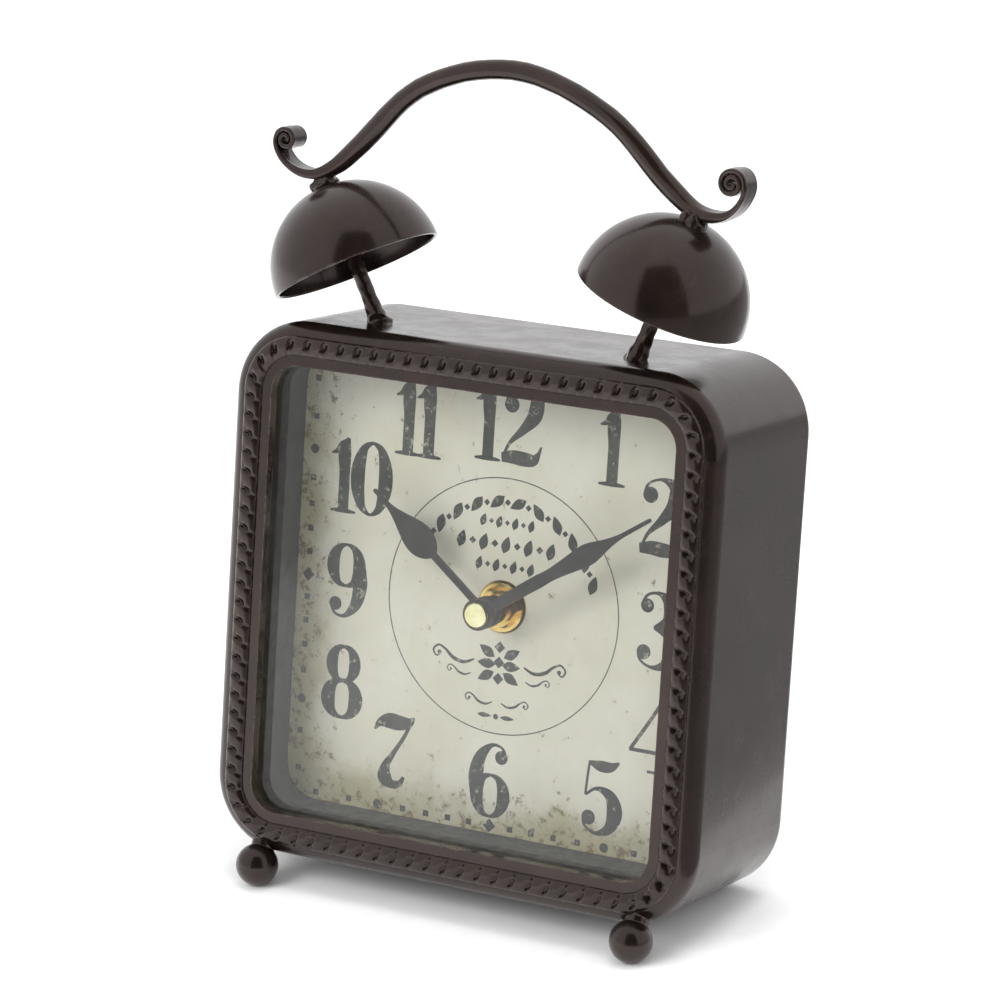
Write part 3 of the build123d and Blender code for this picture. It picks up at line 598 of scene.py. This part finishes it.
def weld_metal(side, place, material):
    """Lumps of weld run together into one skin over the bell's crown."""
    blob = bmesh.new()
    for *centre, radius, height in CROWN_LUMPS[side]:
        spot = Matrix.Translation(Vector(centre) + Vector((0, 0, CROWN_HEIGHT[side])))
        lump = spot @ Matrix.Diagonal((radius, radius, height, 1.0))
        bmesh.ops.create_icosphere(blob, subdivisions=4, radius=1.0, matrix=lump)
    for vertex in blob.verts:
        vertex.co += vertex.normal * roughened(vertex.co + place.translation, *WELD_LUMPS)
    points = [place @ vertex.co for vertex in blob.verts]
    faces = [tuple(vertex.index for vertex in face.verts) for face in blob.faces]
    blob.free()
    made = piece(f"crown_lumps_{side}", points, faces, material)
    skin = made.modifiers.new("skin", "REMESH")
    skin.mode = "VOXEL"
    skin.voxel_size = WELD_GRAIN
    skin.use_smooth_shade = True
    shown = made.evaluated_get(bpy.context.evaluated_depsgraph_get())
    made.data = bpy.data.meshes.new_from_object(shown)
    made.modifiers.clear()
    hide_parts(f"crown_weld_{side}")


def metalwork(material):
    """The handle, both posts and the welds that join them over the bells."""
    forged_handle(material)
    for side, sign in (("left", -1), ("right", 1)):
        place = post_frame(side, sign)
        forged_post(side, place, material)
        weld_metal(side, place, material)


# --- Materials --------------------------------------------------------------------------------
class Paint:
    """A Principled material with helpers for procedural detail. Scales are per metre."""

    def __init__(self, name):
        self.material = bpy.data.materials.new(name)
        self.material.use_nodes = True
        self.nodes = self.material.node_tree.nodes
        self.links = self.material.node_tree.links
        self.shader = self.nodes["Principled BSDF"]
        self.coords = self.nodes.new("ShaderNodeTexCoord").outputs["Object"]

    def noise(self, scale, detail=6.0, roughness=0.6):
        node = self.nodes.new("ShaderNodeTexNoise")
        node.inputs["Scale"].default_value = scale
        node.inputs["Detail"].default_value = detail
        node.inputs["Roughness"].default_value = roughness
        self.links.new(self.coords, node.inputs["Vector"])
        return node.outputs["Fac"]

    def ramp(self, value, low, high, start, end):
        """A smooth change from start to end as value goes from low to high."""
        node = self.nodes.new("ShaderNodeMapRange")
        node.interpolation_type = "SMOOTHSTEP"
        for key, number in zip(("From Min", "From Max", "To Min", "To Max"), (low, high, start, end)):
            node.inputs[key].default_value = number
        self.links.new(value, node.inputs["Value"])
        return node.outputs["Result"]

    def mix(self, share, first, second):
        """A blend of two colours, each a colour or a socket."""
        node = self.nodes.new("ShaderNodeMix")
        node.data_type = "RGBA"
        for socket, colour in ((node.inputs[6], first), (node.inputs[7], second)):
            if isinstance(colour, tuple):
                socket.default_value = (*colour, 1.0)
            else:
                self.links.new(colour, socket)
        self.links.new(share, node.inputs["Factor"])
        return node.outputs[2]

    def math(self, operation, first, second):
        node = self.nodes.new("ShaderNodeMath")
        node.operation = operation
        for socket, value in zip(node.inputs, (first, second)):
            if isinstance(value, (int, float)):
                socket.default_value = value
            else:
                self.links.new(value, socket)
        return node.outputs[0]

    def edges(self, radius):
        """One on sharp edges, fading to zero on flat ground."""
        bevel = self.nodes.new("ShaderNodeBevel")
        bevel.inputs["Radius"].default_value = radius
        plain = self.nodes.new("ShaderNodeNewGeometry").outputs["Normal"]
        dot = self.nodes.new("ShaderNodeVectorMath")
        dot.operation = "DOT_PRODUCT"
        self.links.new(bevel.outputs["Normal"], dot.inputs[0])
        self.links.new(plain, dot.inputs[1])
        return self.ramp(dot.outputs["Value"], 0.995, 0.93, 0.0, 1.0)

    def colour(self, socket):
        self.links.new(socket, self.shader.inputs["Base Color"])

    def rough(self, value, low, high):
        self.links.new(self.ramp(value, 0.3, 0.7, low, high), self.shader.inputs["Roughness"])

    def bump(self, height, depth, strength=0.5):
        node = self.nodes.new("ShaderNodeBump")
        node.inputs["Strength"].default_value = strength
        node.inputs["Distance"].default_value = depth
        self.links.new(height, node.inputs["Height"])
        self.links.new(node.outputs["Normal"], self.shader.inputs["Normal"])

    def set(self, **values):
        for name, value in values.items():
            self.shader.inputs[name.replace("_", " ")].default_value = value


def bronze_look(paint):
    """Dark brown-black lacquer over steel, mottled where thin, rubbed bright on edges."""
    mottle = paint.ramp(paint.noise(55, 5), 0.4, 0.65, 0.0, 1.0)
    base = paint.mix(mottle, (0.006, 0.004, 0.0035), (0.013, 0.0075, 0.006))
    patches = paint.ramp(paint.noise(230, 8, 0.7), 0.54, 0.7, 0.0, 0.5)
    aged = paint.mix(patches, base, (0.026, 0.016, 0.013))
    rubs = paint.ramp(paint.noise(420, 4), 0.42, 0.62, 0.0, 0.6)
    worn = paint.math("MULTIPLY", paint.edges(0.0007), rubs)
    paint.rough(paint.noise(90, 6), 0.17, 0.30)
    paint.bump(paint.noise(420, 4), 0.00010, 0.3)
    paint.set(Specular_IOR_Level=0.42, Specular_Tint=(1.0, 0.74, 0.68, 1.0))
    paint.set(Coat_Weight=0.35, Coat_Roughness=0.12)
    return paint.mix(worn, aged, (0.13, 0.095, 0.08))


def bronze_paint():
    """The lacquer as it is on everything but the rope."""
    paint = Paint("bronze_paint")
    paint.colour(bronze_look(paint))
    return paint.material


def rope_paint():
    """The same lacquer, with painted shade turning it black in the rope's pits."""
    paint = Paint("rope_paint")
    pit = paint.nodes.new("ShaderNodeAttribute")
    pit.attribute_name = "pit"
    # painted shade: the deeper a pit, the nearer black the lacquer
    depth = paint.ramp(pit.outputs["Fac"], 0.15, 0.45, 0.0, 0.97)
    paint.colour(paint.mix(depth, bronze_look(paint), (0.004, 0.002, 0.002)))
    return paint.material


def plain_paint(name, dark, light, metallic, rough):
    """Any plain finish: two close colours, mottled, with fine grain."""
    paint = Paint(name)
    share = paint.ramp(paint.noise(140, 6), 0.35, 0.68, 0.0, 1.0)
    base = paint.mix(share, dark, light)
    # every sharp edge is drawn lighter, evenly all round
    lighter_edges = paint.math("MULTIPLY", paint.edges(0.0004), 0.5)
    paint.colour(paint.mix(lighter_edges, base, tuple(min(1.0, 1.7 * c + 0.02) for c in light)))
    paint.rough(paint.noise(300, 5), rough * 0.8, min(1.0, rough * 1.25))
    paint.bump(paint.noise(1500, 3), 0.00005, 0.4)
    paint.set(Metallic=metallic)
    return paint.material


def cell_label():
    """A plain blue sleeve with bare metal at both of its ends."""
    paint = Paint("cell_label")
    low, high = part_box("battery_aa")
    parts = paint.nodes.new("ShaderNodeSeparateXYZ")
    paint.links.new(paint.coords, parts.inputs[0])
    along = parts.outputs["X"]
    share = paint.ramp(paint.noise(140, 6), 0.35, 0.68, 0.0, 0.6)
    sleeve = paint.mix(share, (0.012, 0.073, 0.21), (0.022, 0.10, 0.26))
    nub = paint.ramp(along, high.x - 0.0017, high.x - 0.0015, 0.0, 1.0)
    tips = paint.math("MAXIMUM", nub, paint.ramp(along, low.x + 0.0007, low.x + 0.0009, 1.0, 0.0))
    paint.colour(paint.mix(tips, sleeve, (0.55, 0.55, 0.53)))
    paint.rough(paint.noise(300, 5), 0.2, 0.4)
    paint.bump(paint.noise(900, 3), 0.00003, 0.3)
    paint.set(Metallic=0.3)
    return paint.material


def aged_dial():
    """Cream printed paper, foxed all over and stained green-brown at its left and bottom edges."""
    paint = Paint("aged_dial")
    low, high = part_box("dial_paper")
    parts = paint.nodes.new("ShaderNodeSeparateXYZ")
    paint.links.new(paint.coords, parts.inputs[0])
    x, z = parts.outputs["X"], parts.outputs["Z"]
    cloud = paint.noise(38, 7, 0.65)
    grain = paint.noise(300, 8, 0.75)
    near_left = paint.ramp(x, low.x, low.x + 0.022, 1.0, 0.0)
    near_foot = paint.ramp(z, low.z, low.z + 0.022, 1.0, 0.0)
    near_right = paint.ramp(x, high.x - 0.012, high.x, 0.0, 0.5)
    near_edge = paint.math("MAXIMUM", paint.math("MAXIMUM", near_left, near_foot), near_right)
    cream = paint.mix(paint.ramp(cloud, 0.3, 0.7, 0.0, 1.0), (0.84, 0.80, 0.70), (0.75, 0.71, 0.58))
    edge_wash = paint.math("MULTIPLY", near_edge, 0.42)
    wash_level = paint.math("ADD", edge_wash, paint.math("MULTIPLY", cloud, 0.8))
    washed = paint.mix(paint.ramp(wash_level, 0.52, 0.85, 0.0, 0.85), cream, (0.46, 0.41, 0.22))
    spot_level = paint.math("ADD", paint.math("MULTIPLY", near_edge, 0.105), grain)
    spots = paint.ramp(spot_level, 0.60, 0.70, 0.0, 0.8)
    paint.colour(paint.mix(spots, washed, (0.19, 0.12, 0.045)))
    paint.rough(cloud, 0.75, 0.95)
    paint.bump(paint.noise(1200, 4), 0.00003, 0.3)
    return paint.material


def dial_ink():
    """Grey-black printing, rubbed away in flecks."""
    paint = Paint("dial_ink")
    flecks = paint.ramp(paint.noise(520, 8, 0.75), 0.56, 0.64, 0.0, 0.8)
    fade = paint.ramp(paint.noise(70, 4), 0.35, 0.65, 0.0, 1.0)
    grey = paint.mix(fade, (0.045, 0.047, 0.044), (0.10, 0.10, 0.09))
    paint.colour(paint.mix(flecks, grey, (0.55, 0.52, 0.42)))
    paint.rough(fade, 0.7, 0.9)
    paint.bump(paint.noise(1500, 2), 0.00001, 0.2)
    return paint.material


def pane_glass():
    """Clear glass that lets light straight through and mirrors a little."""
    paint = Paint("pane_glass")
    clear = paint.nodes.new("ShaderNodeBsdfTransparent")
    clear.inputs["Color"].default_value = (0.97, 0.98, 0.975, 1.0)
    shine = paint.nodes.new("ShaderNodeBsdfGlossy")
    smear = paint.ramp(paint.noise(25, 4), 0.4, 0.7, 0.01, 0.05)
    paint.links.new(smear, shine.inputs["Roughness"])
    fresnel = paint.nodes.new("ShaderNodeFresnel")
    fresnel.inputs["IOR"].default_value = 1.45
    blend = paint.nodes.new("ShaderNodeMixShader")
    paint.links.new(fresnel.outputs[0], blend.inputs[0])
    paint.links.new(clear.outputs[0], blend.inputs[1])
    paint.links.new(shine.outputs[0], blend.inputs[2])
    paint.links.new(blend.outputs[0], paint.nodes["Material Output"].inputs["Surface"])
    paint.nodes.remove(paint.shader)
    return paint.material


# Plain finishes as (darker colour, lighter colour, metallic, roughness).
PLAIN_FINISHES = {
    "dark_paint": ((0.012, 0.011, 0.011), (0.03, 0.026, 0.024), 0.4, 0.45),
    "grey_paint": ((0.045, 0.043, 0.047), (0.07, 0.067, 0.071), 0.1, 0.5),
    "fibreboard": ((0.24, 0.15, 0.08), (0.34, 0.23, 0.13), 0.0, 0.85),
    "zinc_steel": ((0.35, 0.35, 0.33), (0.5, 0.49, 0.45), 1.0, 0.35),
    "black_plastic": ((0.010, 0.010, 0.011), (0.02, 0.02, 0.02), 0.0, 0.5),
    "white_nylon": ((0.7, 0.69, 0.62), (0.8, 0.79, 0.74), 0.0, 0.45),
    "yellow_brass": ((0.62, 0.40, 0.11), (0.80, 0.58, 0.22), 1.0, 0.22),
    "pale_brass": ((0.66, 0.60, 0.30), (0.82, 0.78, 0.48), 1.0, 0.16),
    "copper_wire": ((0.42, 0.14, 0.05), (0.62, 0.26, 0.1), 1.0, 0.35),
    "soft_iron": ((0.25, 0.25, 0.25), (0.38, 0.37, 0.36), 1.0, 0.45),
    "green_board": ((0.01, 0.08, 0.03), (0.02, 0.14, 0.05), 0.0, 0.35),
    "black_rubber": ((0.012, 0.012, 0.012), (0.03, 0.03, 0.03), 0.0, 0.8),
    "hand_black": ((0.040, 0.037, 0.036), (0.058, 0.053, 0.051), 0.1, 0.45),
    "bright_plate": ((0.6, 0.6, 0.58), (0.75, 0.74, 0.7), 1.0, 0.2),
}


def finishes():
    """One material for each slot of the record, and pale_brass."""
    looks = {name: plain_paint(name, *values) for name, values in PLAIN_FINISHES.items()}
    looks["bronze_paint"] = bronze_paint()
    looks["clear_glass"] = pane_glass()
    looks["dial_print"] = aged_dial()
    looks["cell_label"] = cell_label()
    return looks


def dress_nodes(looks):
    """Gives every CAD node the material of its slot; the nut that holds the hands is paler."""
    slots = {part["node"]: part["material_slot"] for part in frame["record"]["subparts"]}
    for name, node in frame["nodes"].items():
        node.data.materials.clear()
        node.data.materials.append(looks["pale_brass" if name == "hand_nut" else slots[name]])


# --- Camera, floor and light ------------------------------------------------------------------
CAMERA_PLACE = Vector((570.1, -1060.2, 257.5))
CAMERA_TURN = Vector((1.699, 0.476, -0.309))
CAMERA_LENS = 163.29
# The rest is in metres, as the leaned clock stands.
FLOOR_HALF = 6.0
FRONT_CARD_AWAY = 2.4
FRONT_CARD_HALF = 1.6
FRONT_CARD_TOP = 5.0
FRONT_CARD_GREY = 0.02
SIDE_CARD_START = 0.11
SIDE_CARD_END = 2.5
SIDE_CARD_HALF = 2.5
SIDE_CARD_LIFT = 0.001
SIDE_CARD_GREY = 0.26


def camera():
    """A long lens from the right and a little above, as the clock's square frame sees it."""
    turn = Matrix.Rotation(CAMERA_TURN.length, 3, CAMERA_TURN).transposed()
    down_its_axis = Matrix(((1, 0, 0), (0, -1, 0), (0, 0, -1)))
    facing = (SQUARE.to_3x3() * 1000 @ turn @ down_its_axis).to_4x4()
    data = bpy.data.cameras.new("camera")
    data.lens = CAMERA_LENS
    data.clip_end = 50
    made = bpy.data.objects.new("camera", data)
    bpy.context.scene.collection.objects.link(made)
    made.matrix_world = Matrix.Translation(SQUARE @ CAMERA_PLACE) @ facing
    bpy.context.scene.camera = made


def area_light(name, place, power, size):
    """A soft square panel aimed at the clock, not seen in reflections."""
    data = bpy.data.lights.new(name, "AREA")
    data.energy = power
    data.shape = "SQUARE"
    data.size = size
    made = bpy.data.objects.new(name, data)
    bpy.context.scene.collection.objects.link(made)
    made.location = place
    aim = Vector((0, 0, 0.1)) - Vector(place)
    made.rotation_euler = aim.to_track_quat("-Z", "Y").to_euler()
    made.visible_glossy = False


def stage_card(name, corners, material):
    """A flat four-cornered sheet of the studio."""
    mesh = bpy.data.meshes.new(name)
    mesh.from_pydata(corners, [], [(0, 1, 2, 3)])
    mesh.materials.append(material)
    made = bpy.data.objects.new(name, mesh)
    bpy.context.scene.collection.objects.link(made)
    return made


def gloss_card(name, corners, grey):
    """A grey card seen only in reflections."""
    paint = plain_paint(name, (grey, grey, grey), (1.3 * grey, 1.3 * grey, 1.3 * grey), 0.0, 0.9)
    card = stage_card(name, corners, paint)
    card.visible_camera = False
    card.visible_diffuse = False
    card.visible_shadow = False


def level_corners(left, right, half, height):
    """Corners of a level sheet from left to right, as far to the front as to the back."""
    return [(left, -half, height), (right, -half, height), (right, half, height), (left, half, height)]


def front_card():
    """A dark upright card beyond the camera."""
    eye = SQUARE @ CAMERA_PLACE
    toward = Vector((eye.x, eye.y, 0)).normalized()
    middle = toward * FRONT_CARD_AWAY
    side = Vector((-toward.y, toward.x, 0)) * FRONT_CARD_HALF
    up = Vector((0, 0, FRONT_CARD_TOP))
    corners = [middle - side, middle + side, middle + side + up, middle - side + up]
    gloss_card("card_behind_camera", corners, FRONT_CARD_GREY)


def side_card():
    """A grey card lying on the floor at the clock's right."""
    corners = level_corners(SIDE_CARD_START, SIDE_CARD_END, SIDE_CARD_HALF, SIDE_CARD_LIFT)
    gloss_card("card_beside_clock", corners, SIDE_CARD_GREY)


def white_room():
    """Even white light from all around."""
    world = bpy.data.worlds.new("studio")
    world.use_nodes = True
    background = world.node_tree.nodes["Background"]
    background.inputs["Color"].default_value = (1, 1, 1, 1)
    background.inputs["Strength"].default_value = 1.0
    bpy.context.scene.world = world


def studio():
    """A pale floor in a white room, two cards that shade the reflections, and three soft panels."""
    pale = plain_paint("floor", (0.93, 0.93, 0.93), (0.96, 0.96, 0.96), 0.0, 0.9)
    stage_card("floor", level_corners(-FLOOR_HALF, FLOOR_HALF, FLOOR_HALF, 0), pale)
    front_card()
    side_card()
    white_room()
    area_light("key", (-0.5, -1.1, 0.9), 10, 0.8)
    area_light("top", (0.1, 0.3, 1.3), 10, 1.0)
    area_light("rim", (1.2, 0.2, 0.6), 1, 0.5)
    bpy.context.scene.view_settings.view_transform = "Standard"


def main():
    looks = finishes()
    dress_nodes(looks)
    rope_moulding()
    dial_printing(dial_ink())
    metalwork(looks["bronze_paint"])
    studio()
    camera()


main()
